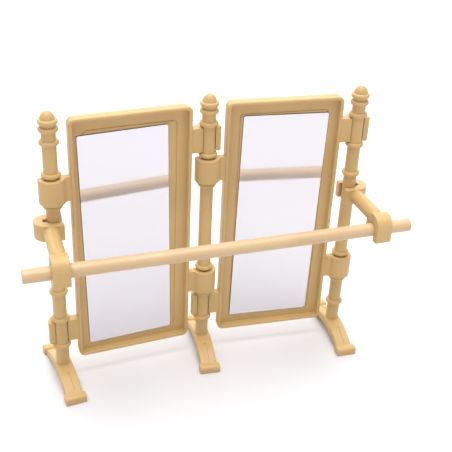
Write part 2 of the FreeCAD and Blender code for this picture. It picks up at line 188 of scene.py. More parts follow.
def lathe(mesh: bmesh.types.BMesh, steps: int) -> None:
    """Spin the outline in a bmesh all the way round Z and weld its poles.

    Args:
        mesh: holds an open outline that starts and ends on the Z axis.
        steps: number of faces round the piece.
    """
    bmesh.ops.spin(mesh, geom=mesh.verts[:] + mesh.edges[:], cent=Vector(), axis=Z_AXIS,
                   angle=2 * math.pi, steps=steps, use_merge=True, use_duplicate=False)
    bmesh.ops.remove_doubles(mesh, verts=mesh.verts[:], dist=WELD)
    bmesh.ops.recalc_face_normals(mesh, faces=mesh.faces[:])


@dataclass(frozen=True)
class Outline:
    """An upright rectangle with round corners, centred on the Y axis, in millimetres."""

    wide: float
    tall: float
    level: float
    corner: float

    def heart(self, across: int, up: int) -> Vector:
        """Centre of one corner's arc.

        Args:
            across: side of the corner, as the sign of X.
            up: end of the corner, as the sign of Z.

        Returns:
            The centre, in millimetres.
        """
        return Vector((across * (self.wide / 2 - self.corner), self.level,
                       up * (self.tall / 2 - self.corner)))

    def face(self, mesh: bmesh.types.BMesh) -> bmesh.types.BMFace:
        """Make the outline as one face.

        Args:
            mesh: the bmesh that gets it.

        Returns:
            The face.
        """
        upright = Matrix.Rotation(math.pi / 2, 4, X_AXIS)
        spread = Matrix.Diagonal((self.wide * MM, 1.0, self.tall * MM, 1.0))
        drawn = bmesh.ops.create_grid(
            mesh, x_segments=1, y_segments=1, size=0.5,
            matrix=Matrix.Translation(Y_AXIS * self.level * MM) @ spread @ upright)
        bmesh.ops.bevel(mesh, geom=drawn["verts"], offset=self.corner * MM, offset_type="OFFSET",
                        segments=8, profile=0.5, affect="VERTICES", material=-1)
        return next(iter(mesh.faces))


def lofted(mesh: bmesh.types.BMesh, rows: Sequence[Outline]) -> list[list[bmesh.types.BMEdge]]:
    """Pull an outline through a row of others into one closed skin.

    Args:
        mesh: an empty bmesh that gets it.
        rows: the outlines in order.

    Returns:
        The edges of each outline.
    """
    rings = [list(rows[0].face(mesh).edges)]
    for before, after in zip(rows, rows[1:]):
        pulled = bmesh.ops.extrude_edge_only(mesh, edges=rings[-1])["geom"]
        verts = {part for part in pulled if isinstance(part, bmesh.types.BMVert)}
        rings.append([edge for edge in mesh.edges if set(edge.verts) <= verts])
        for across, up in ((-1, -1), (-1, 1), (1, -1), (1, 1)):
            near = [vert for vert in verts if vert.co.x * across > 0 and vert.co.z * up > 0]
            start, size = before.heart(across, up), after.corner / before.corner
            bmesh.ops.scale(mesh, vec=Vector((size, 1, size)), verts=near,
                            space=Matrix.Translation(-start * MM))
            bmesh.ops.translate(mesh, vec=(after.heart(across, up) - start) * MM, verts=near)
    bmesh.ops.contextual_create(mesh, geom=rings[-1])
    bmesh.ops.recalc_face_normals(mesh, faces=mesh.faces[:])
    return rings


def turned(axis_point: Vector, degrees: float) -> Matrix:
    """A turn about Z and then a move, for a mesh in metres.

    Args:
        axis_point: where the local origin goes, in metres.
        degrees: turn about Z.

    Returns:
        The matrix of both.
    """
    return Matrix.Translation(axis_point) @ Matrix.Rotation(math.radians(degrees), 4, "Z")


# ------------------------------------------------------------------ shader groups

class Blend(Enum):
    """What a mix node blends: its data type, and the type of its sockets."""

    COLOUR = ("RGBA", "RGBA")
    NUMBER = ("FLOAT", "VALUE")


Source = bpy.types.NodeSocket | float | tuple


def feed(tree: bpy.types.NodeTree, source: Source, socket: bpy.types.NodeSocket) -> None:
    """Link a socket, or set its value, to a source.

    Args:
        tree: the tree of both.
        source: an output socket, a number or a colour.
        socket: the input that gets it.
    """
    if isinstance(source, bpy.types.NodeSocket):
        tree.links.new(source, socket)
    else:
        socket.default_value = source


def mixed(tree: bpy.types.NodeTree, kind: Blend, factor: Source, first: Source,
          second: Source) -> bpy.types.NodeSocket:
    """Blend two colours or numbers.

    Args:
        tree: the tree that gets the node.
        kind: what is blended.
        factor: share of the second.
        first: what shows where the factor is 0.
        second: what shows where the factor is 1.

    Returns:
        The blend.
    """
    node = tree.nodes.new("ShaderNodeMix")
    node.data_type, socket_type = kind.value
    ends = [socket for socket in node.inputs if socket.type == socket_type][-2:]
    feed(tree, factor, node.inputs[0])
    feed(tree, first, ends[0])
    feed(tree, second, ends[1])
    return next(socket for socket in node.outputs if socket.type == socket_type)


class Groups:
    """Shader node groups that several finishes share."""

    @classmethod
    def _new(cls, name: str, inputs: dict[str, float | tuple],
             outputs: dict[str, str]) -> bpy.types.NodeTree:
        """Start a group with its sockets.

        Args:
            name: name of the group.
            inputs: default value of each input; a tuple of 4 is a colour, of 3 a vector.
            outputs: socket type of each output.

        Returns:
            The group.
        """
        tree = bpy.data.node_groups.new(name, "ShaderNodeTree")
        kinds = {4: "NodeSocketColor", 3: "NodeSocketVector"}
        for label, value in inputs.items():
            kind = kinds[len(value)] if isinstance(value, tuple) else "NodeSocketFloat"
            socket = tree.interface.new_socket(label, in_out="INPUT", socket_type=kind)
            socket.default_value = value
        for label, kind in outputs.items():
            tree.interface.new_socket(label, in_out="OUTPUT", socket_type=kind)
        tree.nodes.new("NodeGroupInput").name = "in"
        tree.nodes.new("NodeGroupOutput").name = "out"
        return tree

    @staticmethod
    def _noise(tree: bpy.types.NodeTree, vector: bpy.types.NodeSocket, scale: Source,
               detail: float, roughness: float = 0.5) -> bpy.types.NodeSocket:
        """Add a noise texture.

        Args:
            tree: the group it goes in.
            vector: where the pattern is read.
            scale: size of the pattern, as a number or a socket.
            detail: octaves.
            roughness: weight of the finer octaves.

        Returns:
            The factor it puts out.
        """
        node = tree.nodes.new("ShaderNodeTexNoise")
        node.inputs["Detail"].default_value = detail
        node.inputs["Roughness"].default_value = roughness
        tree.links.new(vector, node.inputs["Vector"])
        feed(tree, scale, node.inputs["Scale"])
        return node.outputs["Fac"]

    @staticmethod
    def _band(tree: bpy.types.NodeTree, value: bpy.types.NodeSocket, low: Source, high: Source,
              floor: Source = 0.0, top: Source = 1.0) -> bpy.types.NodeSocket:
        """Map a band of values smoothly onto another.

        Args:
            tree: the group it goes in.
            value: what is mapped.
            low: start of the band.
            high: end of the band.
            floor: result at the start.
            top: result at the end.

        Returns:
            The mapped value.
        """
        node = tree.nodes.new("ShaderNodeMapRange")
        node.interpolation_type = "SMOOTHSTEP"
        tree.links.new(value, node.inputs["Value"])
        ends = {"From Min": low, "From Max": high, "To Min": floor, "To Max": top}
        for label, end in ends.items():
            feed(tree, end, node.inputs[label])
        return node.outputs["Result"]

    @classmethod
    @cache
    def tone(cls) -> bpy.types.NodeTree:
        """Slow drift of a moulding's colour between two shades, with fine flecks.

        Returns:
            The group, with a Color output.
        """
        tree = cls._new("tone_drift", {
            "Vector": (0.0, 0.0, 0.0), "Shade": (0.5, 0.5, 0.5, 1.0), "Light": (0.6, 0.6, 0.6, 1.0),
            "Fleck": (0.7, 0.7, 0.7, 1.0), "Drift Scale": 60.0, "Fleck Amount": 0.2,
        }, {"Color": "NodeSocketColor"})
        source, sink = tree.nodes["in"].outputs, tree.nodes["out"].inputs
        drift = cls._noise(tree, source["Vector"], source["Drift Scale"], detail=3.0)
        share = cls._band(tree, drift, low=0.3, high=0.7)
        ground = mixed(tree, Blend.COLOUR, share, source["Shade"], source["Light"])
        flecks = cls._noise(tree, source["Vector"], scale=900.0, detail=2.0)
        spread = cls._band(tree, flecks, low=0.52, high=0.72, top=source["Fleck Amount"])
        tree.links.new(mixed(tree, Blend.COLOUR, spread, ground, source["Fleck"]), sink["Color"])
        return tree

    @classmethod
    @cache
    def skin(cls) -> bpy.types.NodeTree:
        """Fine grain of a surface: a height for bump and a roughness that wanders.

        Returns:
            The group, with Height and Roughness outputs.
        """
        tree = cls._new("surface_skin", {
            "Vector": (0.0, 0.0, 0.0), "Grain Scale": 1800.0, "Smooth": 0.35, "Rough": 0.5,
        }, {"Height": "NodeSocketFloat", "Roughness": "NodeSocketFloat"})
        source, sink = tree.nodes["in"].outputs, tree.nodes["out"].inputs
        grain = cls._noise(tree, source["Vector"], source["Grain Scale"], detail=4.0, roughness=0.6)
        tree.links.new(grain, sink["Height"])
        wander = cls._noise(tree, source["Vector"], scale=140.0, detail=4.0, roughness=0.6)
        share = cls._band(tree, wander, low=0.3, high=0.7)
        roughness = mixed(tree, Blend.NUMBER, share, source["Smooth"], source["Rough"])
        tree.links.new(roughness, sink["Roughness"])
        return tree

    @classmethod
    @cache
    def scratches(cls) -> bpy.types.NodeTree:
        """Fine straight scratches, broken up into short runs.

        Returns:
            The group, with a Mask output.
        """
        tree = cls._new("fine_scratches", {
            "Vector": (0.0, 0.0, 0.0), "Size": (0.001, 0.001, 0.001), "Turn": (0.0, 0.0, 0.0),
            "Amount": 0.5, "Threshold": 0.66,
        }, {"Mask": "NodeSocketFloat"})
        source, sink = tree.nodes["in"].outputs, tree.nodes["out"].inputs
        lay = tree.nodes.new("ShaderNodeMapping")
        lay.vector_type = "TEXTURE"
        tree.links.new(source["Vector"], lay.inputs["Vector"])
        tree.links.new(source["Turn"], lay.inputs["Rotation"])
        tree.links.new(source["Size"], lay.inputs["Scale"])
        lines = cls._noise(tree, lay.outputs["Vector"], scale=1.0, detail=1.0)
        patch = cls._noise(tree, source["Vector"], scale=70.0, detail=2.0)
        thin = cls._band(tree, lines, low=source["Threshold"], high=0.8)
        shown = tree.nodes.new("ShaderNodeMath")
        shown.operation = "MULTIPLY"
        reach = cls._band(tree, patch, low=0.45, high=0.65, top=source["Amount"])
        tree.links.new(thin, shown.inputs[0])
        tree.links.new(reach, shown.inputs[1])
        tree.links.new(shown.outputs["Value"], sink["Mask"])
        return tree


# ------------------------------------------------------------------ finishes

class Surface:
    """A material being put together round one Principled shader."""

    def __init__(self, name: str) -> None:
        """Start a material with its shader and Object coordinates."""
        self.material = bpy.data.materials.new(name)
        self.material.use_nodes = True
        self.tree = self.material.node_tree
        self.shader = self.tree.nodes["Principled BSDF"]
        self.place = self.tree.nodes.new("ShaderNodeTexCoord").outputs["Object"]

    def constants(self, **values: float | tuple) -> None:
        """Set sockets of the shader, with an underscore for each space of a name."""
        for label, value in values.items():
            self.shader.inputs[label.replace("_", " ")].default_value = value

    def group(self, tree: bpy.types.NodeTree, **values: float | tuple) -> bpy.types.Node:
        """Place a shared group in this material.

        Args:
            tree: the group.
            values: its inputs, with an underscore for each space of a name.

        Returns:
            The group node.
        """
        node = self.tree.nodes.new("ShaderNodeGroup")
        node.node_tree = tree
        self.tree.links.new(self.place, node.inputs["Vector"])
        for label, value in values.items():
            node.inputs[label.replace("_", " ")].default_value = value
        return node

    def drive(self, label: str, source: bpy.types.NodeSocket) -> None:
        """Link a value that changes over the surface to a socket of the shader."""
        self.tree.links.new(source, self.shader.inputs[label])

    def bump(self, height: bpy.types.NodeSocket, strength: float, distance: float) -> None:
        """Raise the surface by a height.

        Args:
            height: the pattern.
            strength: share of the effect.
            distance: depth of the pattern, in metres.
        """
        node = self.tree.nodes.new("ShaderNodeBump")
        node.inputs["Strength"].default_value = strength
        node.inputs["Distance"].default_value = distance
        self.tree.links.new(height, node.inputs["Height"])
        self.drive("Normal", node.outputs["Normal"])


@dataclass(frozen=True)
class MouldedPlastic:
    """Satin moulded plastic with a slow drift of tone and a fine skin."""

    name: str
    shade: tuple[float, float, float, float]
    light: tuple[float, float, float, float]
    fleck: tuple[float, float, float, float]
    fleck_amount: float
    smooth: float
    rough: float
    scuff_amount: float
    scuff_size: tuple[float, float, float]
    depth: float = 0.08
    grain_depth: float = 0.00002

    def build(self) -> bpy.types.Material:
        """Make the material.

        Returns:
            The finished material.
        """
        surface = Surface(self.name)
        surface.constants(IOR=1.53, Subsurface_Weight=self.depth, Subsurface_Scale=0.0012,
                          Subsurface_Radius=(1.0, 0.62, 0.3))
        tone = surface.group(Groups.tone(), Shade=self.shade, Light=self.light, Fleck=self.fleck,
                             Fleck_Amount=self.fleck_amount)
        skin = surface.group(Groups.skin(), Smooth=self.smooth, Rough=self.rough)
        scuffs = surface.group(Groups.scratches(), Size=self.scuff_size, Amount=self.scuff_amount)
        surface.drive("Base Color", mixed(
            surface.tree, Blend.COLOUR, scuffs.outputs["Mask"], tone.outputs["Color"], self.fleck))
        surface.drive("Roughness", skin.outputs["Roughness"])
        surface.bump(skin.outputs["Height"], strength=0.35, distance=self.grain_depth)
        return surface.material


@dataclass(frozen=True)
class MirrorFoil:
    """Silvered foil with fine scratches and a faint unevenness."""

    name: str
    tint: tuple[float, float, float, float]
    haze: tuple[float, float, float, float]
    metal: float = 0.66
    smooth: float = 0.04
    rough: float = 0.10
    scratched: float = 0.5
    wave_depth: float = 0.00001

    def build(self) -> bpy.types.Material:
        """Make the material.

        Returns:
            The finished material.
        """
        surface = Surface(self.name)
        surface.constants(Metallic=self.metal)
        skin = surface.group(Groups.skin(), Grain_Scale=45.0, Smooth=self.smooth, Rough=self.rough)
        lines = surface.group(Groups.scratches(), Size=(0.00022, 0.0002, 0.014),
                              Turn=(0.0, 1.15, 0.0), Amount=0.45)
        mask = lines.outputs["Mask"]
        surface.drive("Base Color", mixed(surface.tree, Blend.COLOUR, mask, self.tint, self.haze))
        surface.drive("Roughness", mixed(
            surface.tree, Blend.NUMBER, mask, skin.outputs["Roughness"], self.scratched))
        surface.bump(skin.outputs["Height"], strength=0.3, distance=self.wave_depth)
        return surface.material


@dataclass(frozen=True)
class CutEdgeAndShade:
    """Dark cut edge of the foil, with a little wear; its dark colour is partly the edge's own and
    partly painted shade standing in for the contact shadow along the foil's edge.
    """

    name: str
    shade: tuple[float, float, float, float]
    worn: tuple[float, float, float, float]

    def build(self) -> bpy.types.Material:
        """Make the material.

        Returns:
            The finished material.
        """
        surface = Surface(self.name)
        tone = surface.group(Groups.tone(), Shade=self.shade, Light=self.worn, Fleck=self.worn,
                             Drift_Scale=300.0, Fleck_Amount=0.3)
        skin = surface.group(Groups.skin(), Smooth=0.4, Rough=0.6)
        surface.drive("Base Color", tone.outputs["Color"])
        surface.drive("Roughness", skin.outputs["Roughness"])
        surface.bump(skin.outputs["Height"], strength=0.2, distance=0.00001)
        return surface.material


BEIGE = MouldedPlastic(
    name="moulded_beige", shade=(0.590, 0.385, 0.152, 1.0), light=(0.630, 0.415, 0.168, 1.0),
    fleck=(0.70, 0.49, 0.25, 1.0), fleck_amount=0.10, smooth=0.36, rough=0.48,
    scuff_amount=0.15, scuff_size=(0.001, 0.001, 0.016))
ROD = MouldedPlastic(
    name="rod_beige", shade=(0.62, 0.43, 0.235, 1.0), light=(0.67, 0.475, 0.275, 1.0),
    fleck=(0.76, 0.60, 0.42, 1.0), fleck_amount=0.13, smooth=0.34, rough=0.5,
    scuff_amount=0.22, scuff_size=(0.016, 0.0005, 0.0005))
FOIL = MirrorFoil(name="mirror_foil", tint=(0.805, 0.79, 0.825, 1.0), haze=(0.96, 0.94, 0.95, 1.0))
# Dark edge colour: partly the foil's own cut edge, partly painted shade for the contact shadow
# along the edge.
FOIL_EDGE_AND_SHADE = CutEdgeAndShade(name="foil_edge_and_shade", shade=(0.085, 0.055, 0.06, 1.0), worn=(0.20, 0.13, 0.11, 1.0))


class Slot(Enum):
    """The record's material slots."""

    BEIGE = "beige_plastic"
    BARRE = "barre_plastic"
    MIRROR = "mirror_foil"


# ------------------------------------------------------------------ pieces

@dataclass
class Workshop:
    """Turns finished bmeshes into dressed pieces that ride on their bodies."""

    crease: float = 42.0
    materials: dict[str, bpy.types.Material] = field(default_factory=dict)

    def material(self, finish: MouldedPlastic | MirrorFoil | CutEdgeAndShade) -> bpy.types.Material:
        """The one material of a finish, made when first asked for."""
        if finish.name not in self.materials:
            self.materials[finish.name] = finish.build()
        return self.materials[finish.name]

    def piece(self, name: str, mesh: bmesh.types.BMesh, place: Matrix, body: str, slot: Slot,
              *finishes: MouldedPlastic | MirrorFoil | CutEdgeAndShade) -> bpy.types.Object:
        """Turn a bmesh into a dressed piece.

        Args:
            name: name of the piece.
            mesh: its shape about its own origin, in metres. It is freed.
            place: moves the shape to its place in the row frame.
            body: body that the piece rides on.
            slot: the record's material slot of the piece; not used.
            finishes: materials by face index.

        Returns:
            The new object.
        """
        bmesh.ops.transform(mesh, matrix=place, verts=mesh.verts[:])
        if place.determinant() < 0:
            bmesh.ops.reverse_faces(mesh, faces=mesh.faces[:])
        data = bpy.data.meshes.new(name)
        mesh.to_mesh(data)
        mesh.free()
        data.shade_smooth()
        data.set_sharp_from_angle(angle=math.radians(self.crease))
        for finish in finishes:
            data.materials.append(self.material(finish))
        thing = bpy.data.objects.new(name, data)
        bpy.context.scene.collection.objects.link(thing)
        even = thing.modifiers.new("even_normals", "WEIGHTED_NORMAL")
        even.keep_sharp = True
        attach(thing, body)
        log.info("%s: %d faces on %s", name, len(data.polygons), body)
        return thing


@dataclass
class Post:
    """A turned post on an arched foot."""

    node: str
    axis: Vector
    turn: float
    rod: float = 2.25
    bead: float = 0.85
    ring: float = 3.1
    rings: tuple[float, ...] = (14.1, 24.95, 35.8, 68.25, 79.1, 89.95, 94.25, 96.7)
    dome: float = 2.45
    top: float = 100.0
    root: float = 4.0
    crown: float = 6.1
    flare: float = 0.4
    flare_sink: float = 0.1
    foot_half: float = 2.9
    foot_round: float = 0.45
    reach: float = 16.4
    toe: float = 2.3
    arch: float = 3.0
    pad_deep: float = 3.3
    pad_half: float = 3.6
    pad_tall: float = 2.8
    pad_round: float = 1.1
    pad_edge: float = 0.3
    channel: float = 0.5
    channel_deep: float = 0.22
    channel_slope: float = 0.1
    channel_ends: tuple[float, float] = (5.6, 12.8)

    def column(self) -> bmesh.types.BMesh:
        """Turn the column with its rings and dome.

        Returns:
            Its mesh.
        """
        mesh = bmesh.new()
        pen = Pen(mesh, Z_AXIS * self.root, -Y_AXIS)
        skirt = self.rod + self.flare
        base = self.crown - self.flare_sink
        pen.line(Vector((skirt, 0, self.root)), Vector((skirt, 0, base)))
        pen.arc(Vector((skirt, 0, base + self.flare)), -90.0, steps=6)
        for number, level in enumerate(self.rings):
            centre = Vector((self.ring - self.bead, 0, level))
            sag = math.sqrt(self.bead ** 2 - (self.rod - centre.x) ** 2)
            start = math.degrees(math.atan2(-sag, self.rod - centre.x))
            pen.line(Vector((self.rod, 0, level - sag)))
            if number < len(self.rings) - 1:
                pen.arc(centre, -2 * start, steps=14)
        tip = self.rings[-1]
        edge = Vector((self.ring - self.bead, 0, tip))
        meet = math.degrees(math.acos((self.dome - edge.x) / self.bead))
        pen.arc(edge, meet - start, steps=11)
        lift = pen.at.z
        rise = self.top - tip
        ratio = rise / self.dome
        drawn = set(mesh.verts)
        begin = math.degrees(math.asin((lift - tip) / rise))
        pen.line(Vector((self.dome * math.cos(math.radians(begin)), 0, tip + (lift - tip) / ratio)))
        pen.arc(Z_AXIS * tip, 90.0 - begin, steps=14)
        cap = [vert for vert in mesh.verts if vert not in drawn]
        bmesh.ops.scale(mesh, vec=Vector((1, 1, ratio)), verts=cap,
                        space=Matrix.Translation(-Z_AXIS * tip * MM))
        lathe(mesh, steps=64)
        return mesh

    def foot(self) -> bmesh.types.BMesh:
        """Make the arched spring of the foot with its engraved channels.

        Returns:
            Its mesh.
        """
        mesh = bmesh.new()
        arm = self.reach - self.pad_deep
        outer = (arm ** 2 + (self.crown - self.toe) ** 2) / (2 * (self.crown - self.toe))
        inner = (arm ** 2 + self.arch ** 2) / (2 * self.arch)
        end = arm + self.pad_deep / 2
        crown_centre = Z_AXIS * (self.crown - outer)
        tip = crown_centre.z + math.sqrt(outer ** 2 - end ** 2)
        side = -X_AXIS * self.foot_half
        pen = Pen(mesh, side + Vector((0, -end, 0)), X_AXIS)
        pen.line(side + Vector((0, -arm, 0)))
        under = side + Z_AXIS * (self.arch - inner)
        pen.arc(under, -2 * math.degrees(math.asin(arm / inner)), steps=24)
        pen.line(side + Vector((0, end, 0)), side + Vector((0, end, tip)))
        pen.arc(side + crown_centre, 2 * math.degrees(math.asin(end / outer)), steps=32)
        thicken(mesh, pen.close(), X_AXIS * 2 * self.foot_half)
        soften(mesh, self.foot_round, segments=4, wanted=is_sharp)
        for spot, normal in self._cuts():
            bmesh.ops.bisect_plane(mesh, geom=mesh.verts[:] + mesh.edges[:] + mesh.faces[:],
                                   plane_co=spot * MM, plane_no=normal, dist=WELD)
        floor = [face for face in mesh.faces if self._in_channel(face)]
        bmesh.ops.inset_region(mesh, faces=floor, thickness=self.channel_slope * MM,
                               depth=-self.channel_deep * MM, use_even_offset=True)
        bmesh.ops.recalc_face_normals(mesh, faces=mesh.faces[:])
        return mesh

    def _cuts(self) -> list[tuple[Vector, Vector]]:
        """Planes along the sides and ends of the channels, as points and normals."""
        sides = [(X_AXIS * self.channel * way, X_AXIS) for way in (-1, 1)]
        ends = [(Y_AXIS * end * way, Y_AXIS) for way in (-1, 1) for end in self.channel_ends]
        return sides + ends

    def _in_channel(self, face: bmesh.types.BMFace) -> bool:
        """Whether a face is on the top of an arm, inside its channel."""
        middle = face.calc_center_median() / MM
        near, far = self.channel_ends
        inside = abs(middle.x) < self.channel and near < abs(middle.y) < far
        return inside and face.normal.z > FACES_UP

    def pad(self, way: int) -> bmesh.types.BMesh:
        """Make the rolled pad at a toe.

        Args:
            way: -1 for the front toe, 1 for the rear.

        Returns:
            Its mesh.
        """
        mesh = bmesh.new()
        side = -X_AXIS * self.pad_half
        near = self.reach - self.pad_deep
        corner = self.pad_round
        pen = Pen(mesh, side + Vector((0, near, 0)), X_AXIS)
        pen.line(side + Vector((0, self.reach, 0)),
                 side + Vector((0, self.reach, self.pad_tall - corner)))
        pen.arc(side + Vector((0, self.reach - corner, self.pad_tall - corner)), 90.0, steps=8)
        pen.line(side + Vector((0, near + corner, self.pad_tall)))
        pen.arc(side + Vector((0, near + corner, self.pad_tall - corner)), 90.0, steps=8)
        thicken(mesh, pen.close(), X_AXIS * 2 * self.pad_half)
        soften(mesh, self.pad_edge, segments=3, wanted=is_sharp)
        bmesh.ops.rotate(mesh, cent=Vector(), verts=mesh.verts[:],
                         matrix=Matrix.Rotation(math.pi if way < 0 else 0.0, 3, "Z"))
        return mesh

    def build(self, shop: Workshop) -> None:
        """Make and dress every piece of the post.

        Args:
            shop: makes the pieces.
        """
        place = turned(self.axis, self.turn)
        column = shop.piece(f"{self.node}_column", self.column(), place, self.node,
                            Slot.BEIGE, BEIGE)
        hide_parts(self.node)
        shop.piece(f"{self.node}_foot", self.foot(), place, self.node, Slot.BEIGE, BEIGE)
        for label, way in (("front", -1), ("rear", 1)):
            shop.piece(f"{self.node}_{label}_toe", self.pad(way), place, self.node,
                       Slot.BEIGE, BEIGE)


@dataclass
class Panel:
    """A mirror frame with its four clips and its foil."""

    side: Side
    middle: Vector
    turn: float
    pitch: float
    shift: float
    drop: float
    tilt: float
    side_gap: float = 5.85
    bottom: float = 7.5
    tall: float = 89.3
    front: float = -1.4
    back: float = 2.4
    corner: float = 2.1
    rim: float = 1.2
    rim_round: float = 0.55
    rim_draft: float = 0.12
    back_round: float = 0.5
    floor_round: float = 0.25
    floor: float = 0.9
    border_edge: float = 4.5
    border_line: float = 0.6
    border_slope: float = 0.12
    border_deep: float = 0.25
    border_corner: float = 1.7
    foil_inset: float = 0.58
    foil_thick: float = 0.3
    foil_corner: float = 0.75
    foil_round: float = 0.12
    clip: float = 4.2
    bore: float = 2.42
    bore_margin: float = 0.3
    half_mouth: float = 2.17
    clip_long: float = 8.5
    web_root: float = 0.6
    web_front: float = 1.1
    web_back: float = 2.0
    web_blend: float = 1.6
    outer_round: float = 0.45
    mouth_round: float = 0.3
    seats: tuple[tuple[str, float, Mouth, int], ...] = (
        ("a", 84.525, Mouth.FRONT, 1), ("b", 73.675, Mouth.BACK, -1),
        ("c", 30.375, Mouth.BACK, 1), ("d", 19.525, Mouth.FRONT, -1))

    @property
    def name(self) -> str:
        """Left or right, as in the names of the nodes."""
        return self.side.name.lower()

    @property
    def wide(self) -> float:
        """Width of the frame without its clips."""
        return self.pitch - 2 * self.side_gap

    @property
    def height(self) -> float:
        """Middle of the frame above the floor."""
        return self.bottom + self.tall / 2

    def tray(self) -> bmesh.types.BMesh:
        """Make the rim, the recessed plate and its engraved border.

        Returns:
            Its mesh, about the middle of the frame.
        """
        mesh = bmesh.new()
        draft, slope = self.rim_draft, self.border_slope
        edge, line, turn = self.border_edge, self.border_line, self.border_corner
        rows = (
            (0.0, self.corner, self.back), (0.0, self.corner, self.front),
            (self.rim, self.corner - self.rim, self.front),
            (self.rim + draft, self.corner - self.rim - draft, self.floor),
            (edge, turn, self.floor),
            (edge + slope, turn - slope, self.floor + self.border_deep),
            (edge + line - slope, turn - line + slope, self.floor + self.border_deep),
            (edge + line, turn - line, self.floor))
        rings = lofted(mesh, [
            Outline(self.wide - 2 * inset, self.tall - 2 * inset, level, corner)
            for inset, corner, level in rows])
        softness = ((0, self.back_round, 4), (1, self.rim_round, 5), (2, self.rim_round, 5),
                    (3, self.floor_round, 3))
        for row, radius, segments in softness:
            chosen = set(rings[row])
            soften(mesh, radius, segments, chosen.__contains__)
        return mesh

    def clip_mesh(self, mouth: Mouth, way: int) -> bmesh.types.BMesh:
        """Make a C-shaped clip with the web that joins it to the frame.

        Args:
            mouth: which way it opens.
            way: side of the frame that the post is on, as the sign of X.

        Returns:
            Its mesh, about the axis of the post at mid height.
        """
        mesh = bmesh.new()
        near = self.web_front if mouth is Mouth.BACK else self.web_back
        tip = math.sqrt(self.bore ** 2 - self.half_mouth ** 2)
        reach = self.side_gap + self.web_root
        low = Vector((0, 0, -self.clip_long / 2))
        blend = self._blend(near)
        lean = math.degrees(math.atan2(blend.y, blend.x))
        outer = math.degrees(math.asin(tip / self.clip))
        inner = math.degrees(math.asin(tip / self.bore))
        pen = Pen(mesh, low + Vector((reach, -near, 0)), Z_AXIS)
        pen.line(low + Vector((blend.x, -near, 0)))
        pen.arc(low + Vector((blend.x, -blend.y, 0)), 90.0 - lean, steps=8)
        pen.arc(low, -(180.0 + outer - lean), steps=40)
        pen.line(low + Vector((-self.half_mouth, tip, 0)))
        pen.arc(low, 180.0 + 2 * inner, steps=40)
        pen.line(low + Vector((reach, tip, 0)))
        thicken(mesh, pen.close(), Z_AXIS * self.clip_long)
        inner_wall = (self.bore + self.bore_margin) * MM

        def is_outside(edge: bmesh.types.BMEdge) -> bool:
            """Whether an edge lies clear of the bore."""
            return is_sharp(edge) and all(vert.co.xy.length > inner_wall for vert in edge.verts)

        soften(mesh, self.outer_round, segments=4, wanted=is_outside)
        soften(mesh, self.mouth_round, segments=3, wanted=lambda edge: is_sharp(edge, degrees=60.0))
        flip = Matrix.Diagonal((-way, 1 if mouth is Mouth.BACK else -1, 1, 1))
        bmesh.ops.transform(mesh, matrix=flip, verts=mesh.verts[:])
        bmesh.ops.recalc_face_normals(mesh, faces=mesh.faces[:])
        return mesh

    def _blend(self, web: float) -> Vector:
        """Centre of the hollow fillet between the barrel and a face of the web.

        Args:
            web: distance of that face from the post's axis.

        Returns:
            The centre, with both coordinates positive.
        """
        rise = web + self.web_blend
        return Vector((math.sqrt((self.clip + self.web_blend) ** 2 - rise ** 2), rise, 0))

    def foil(self) -> bmesh.types.BMesh:
        """Make the foil, silvered in front and dark at its cut edge, where the dark is partly the
        edge's own and partly painted contact shade.

        Returns:
            Its mesh, about the middle of the frame.
        """
        mesh = bmesh.new()
        inset = self.border_edge + self.foil_inset
        rings = lofted(mesh, [
            Outline(self.wide - 2 * inset, self.tall - 2 * inset, level, self.foil_corner)
            for level in (self.floor, self.floor - self.foil_thick)])
        chosen = set(rings[1])
        soften(mesh, self.foil_round, segments=2, wanted=chosen.__contains__)
        # Side and back faces get the dark edge finish, which is partly painted contact shade.
        for face in mesh.faces:
            face.material_index = 0 if face.normal.y < FACES_FRONT else 1
        bmesh.ops.rotate(mesh, cent=Vector(), verts=mesh.verts[:],
                         matrix=Matrix.Rotation(math.radians(-self.tilt), 3, "Y"))
        bmesh.ops.translate(mesh, vec=Vector((self.shift, 0, -self.drop)) * MM, verts=mesh.verts[:])
        return mesh

    def build(self, shop: Workshop) -> None:
        """Make and dress every piece of the panel.

        Args:
            shop: makes the pieces.
        """
        body = f"{self.name}_panel"
        place = turned(self.middle, self.turn)
        raised = place @ Matrix.Translation(Z_AXIS * self.height * MM)
        tray = shop.piece(f"{self.name}_tray", self.tray(), raised, body, Slot.BEIGE, BEIGE)
        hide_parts(f"{self.name}_frame")
        for label, level, mouth, way in self.seats:
            seat = place @ Matrix.Translation(Vector((way * self.pitch / 2, 0, level)) * MM)
            shop.piece(f"{self.name}_clip_{label}", self.clip_mesh(mouth, way), seat, body,
                       Slot.BEIGE, BEIGE)
        foil = shop.piece(f"{self.name}_foil", self.foil(), raised, body,
                          Slot.MIRROR, FOIL, FOIL_EDGE_AND_SHADE)
        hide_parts(f"{self.name}_mirror")


